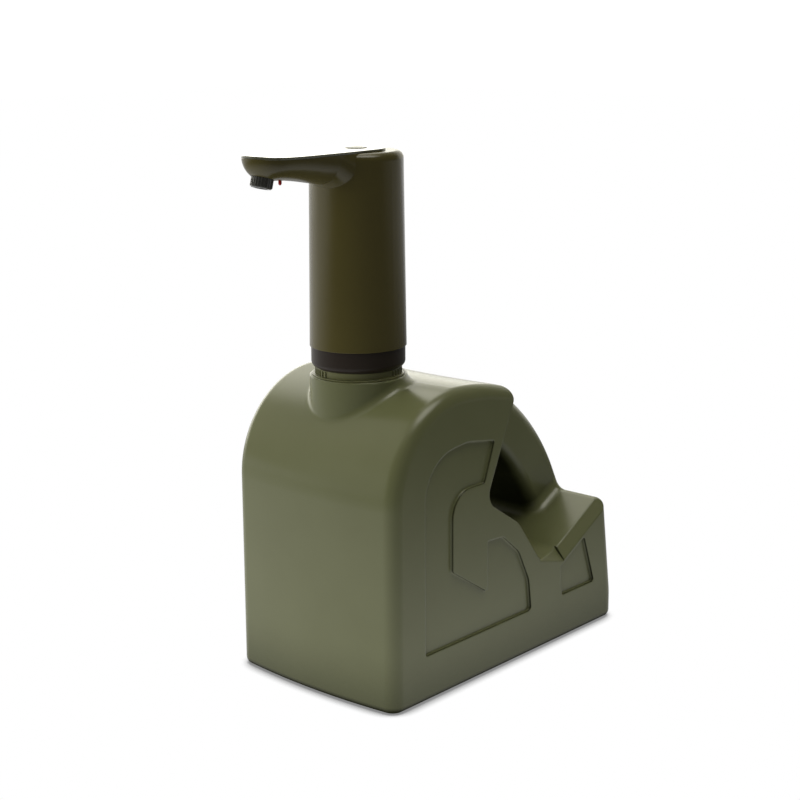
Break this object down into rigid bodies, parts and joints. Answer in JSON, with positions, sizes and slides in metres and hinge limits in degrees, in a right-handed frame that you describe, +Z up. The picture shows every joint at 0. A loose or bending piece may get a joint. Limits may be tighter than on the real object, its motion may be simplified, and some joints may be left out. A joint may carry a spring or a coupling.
{
  "type": "electric camping tap",
  "caption": "Battery-powered water tap with a spout arm, standing on the neck of a moulded water canister with a bowed carry handle.",
  "frame": {"origin": "foot of the tap's axis on the ground plane under the canister", "axes": "+Z up along the tap's axis, -Y the way the spout points, +Y towards the carry handle, +X the side with the cell"},
  "size_m": [0.144, 0.2976, 0.3621],
  "materials": {
    "canister_olive": "satin",
    "adapter_olive": "satin",
    "tap_olive": "satin",
    "plate_gloss": "gloss",
    "black_ring": "satin",
    "nozzle_black": "gloss",
    "fine_steel": "satin",
    "red_lens": "gloss",
    "button_olive": "satin",
    "inner_black": "matte",
    "inner_grey": "matte",
    "pump_white": "satin",
    "rotor_blue": "satin",
    "cell_wrap": "gloss",
    "motor_steel": "satin",
    "black_rubber": "matte",
    "clear_silicone": "satin",
    "flap_rubber": "matte",
    "board_green": "satin",
    "screw_steel": "satin"
  },
  "bodies": {
    "canister": {"canister": "canister_olive"},
    "adapter": {"neck_adapter": "adapter_olive", "neck_o_ring": "black_rubber"},
    "tap": {"tap_housing": "tap_olive", "top_plate": "plate_gloss", "base_ring": "black_ring", "tap_chassis": "inner_black", "plug_o_ring": "black_rubber", "chassis_screws": "screw_steel", "cell_cradle": "inner_grey", "battery_cell": "cell_wrap", "pump_motor": "motor_steel", "pump_housing": "pump_white", "pump_cover": "pump_white", "shaft_seal": "black_rubber", "pump_screws": "screw_steel", "delivery_tube": "clear_silicone", "outlet_elbow": "inner_grey", "indicator_lens": "red_lens", "button_spring": "fine_steel", "tactile_switch": "inner_black", "control_board": "board_green", "board_screws": "screw_steel", "charging_port": "fine_steel", "suction_hose": "clear_silicone", "hose_clip": "fine_steel", "strainer_cage": "inner_black", "strainer_cap": "inner_black"},
    "button": {"power_button": "button_olive"},
    "aerator": {"aerator_nozzle": "nozzle_black", "aerator_screen": "fine_steel"},
    "rotor": {"impeller": "rotor_blue"},
    "flap": {"charge_flap": "flap_rubber"}
  },
  "joints": [
    {"name": "neck_ring_twist", "type": "hinge", "parent": "canister", "child": "adapter", "pos_m": [0, 0, 0.211], "axis": [0, 0, 1], "continuous": true},
    {"name": "tap_lift", "type": "slide", "parent": "adapter", "child": "tap", "axis": [0, 0, 1], "range_m": [0, 0.215]},
    {"name": "power_button_press", "type": "slide", "parent": "tap", "child": "button", "axis": [0, 0, 1], "range_m": [-0.0008, 0], "stiffness_N_per_m": 2500, "deforming": ["button_spring"]},
    {"name": "aerator_twist", "type": "hinge", "parent": "tap", "child": "aerator", "pos_m": [0, -0.0845, 0.3467], "axis": [0, 0.2588, 0.9659], "range_deg": [0, 90]},
    {"name": "impeller_spin", "type": "hinge", "parent": "tap", "child": "rotor", "pos_m": [-0.0125, 0, 0.233], "axis": [0, 0, 1], "continuous": true},
    {"name": "charge_flap_swing", "type": "hinge", "parent": "tap", "child": "flap", "pos_m": [0, 0.0302, 0.3446], "axis": [-1, 0, 0], "range_deg": [0, 90]}
  ]
}
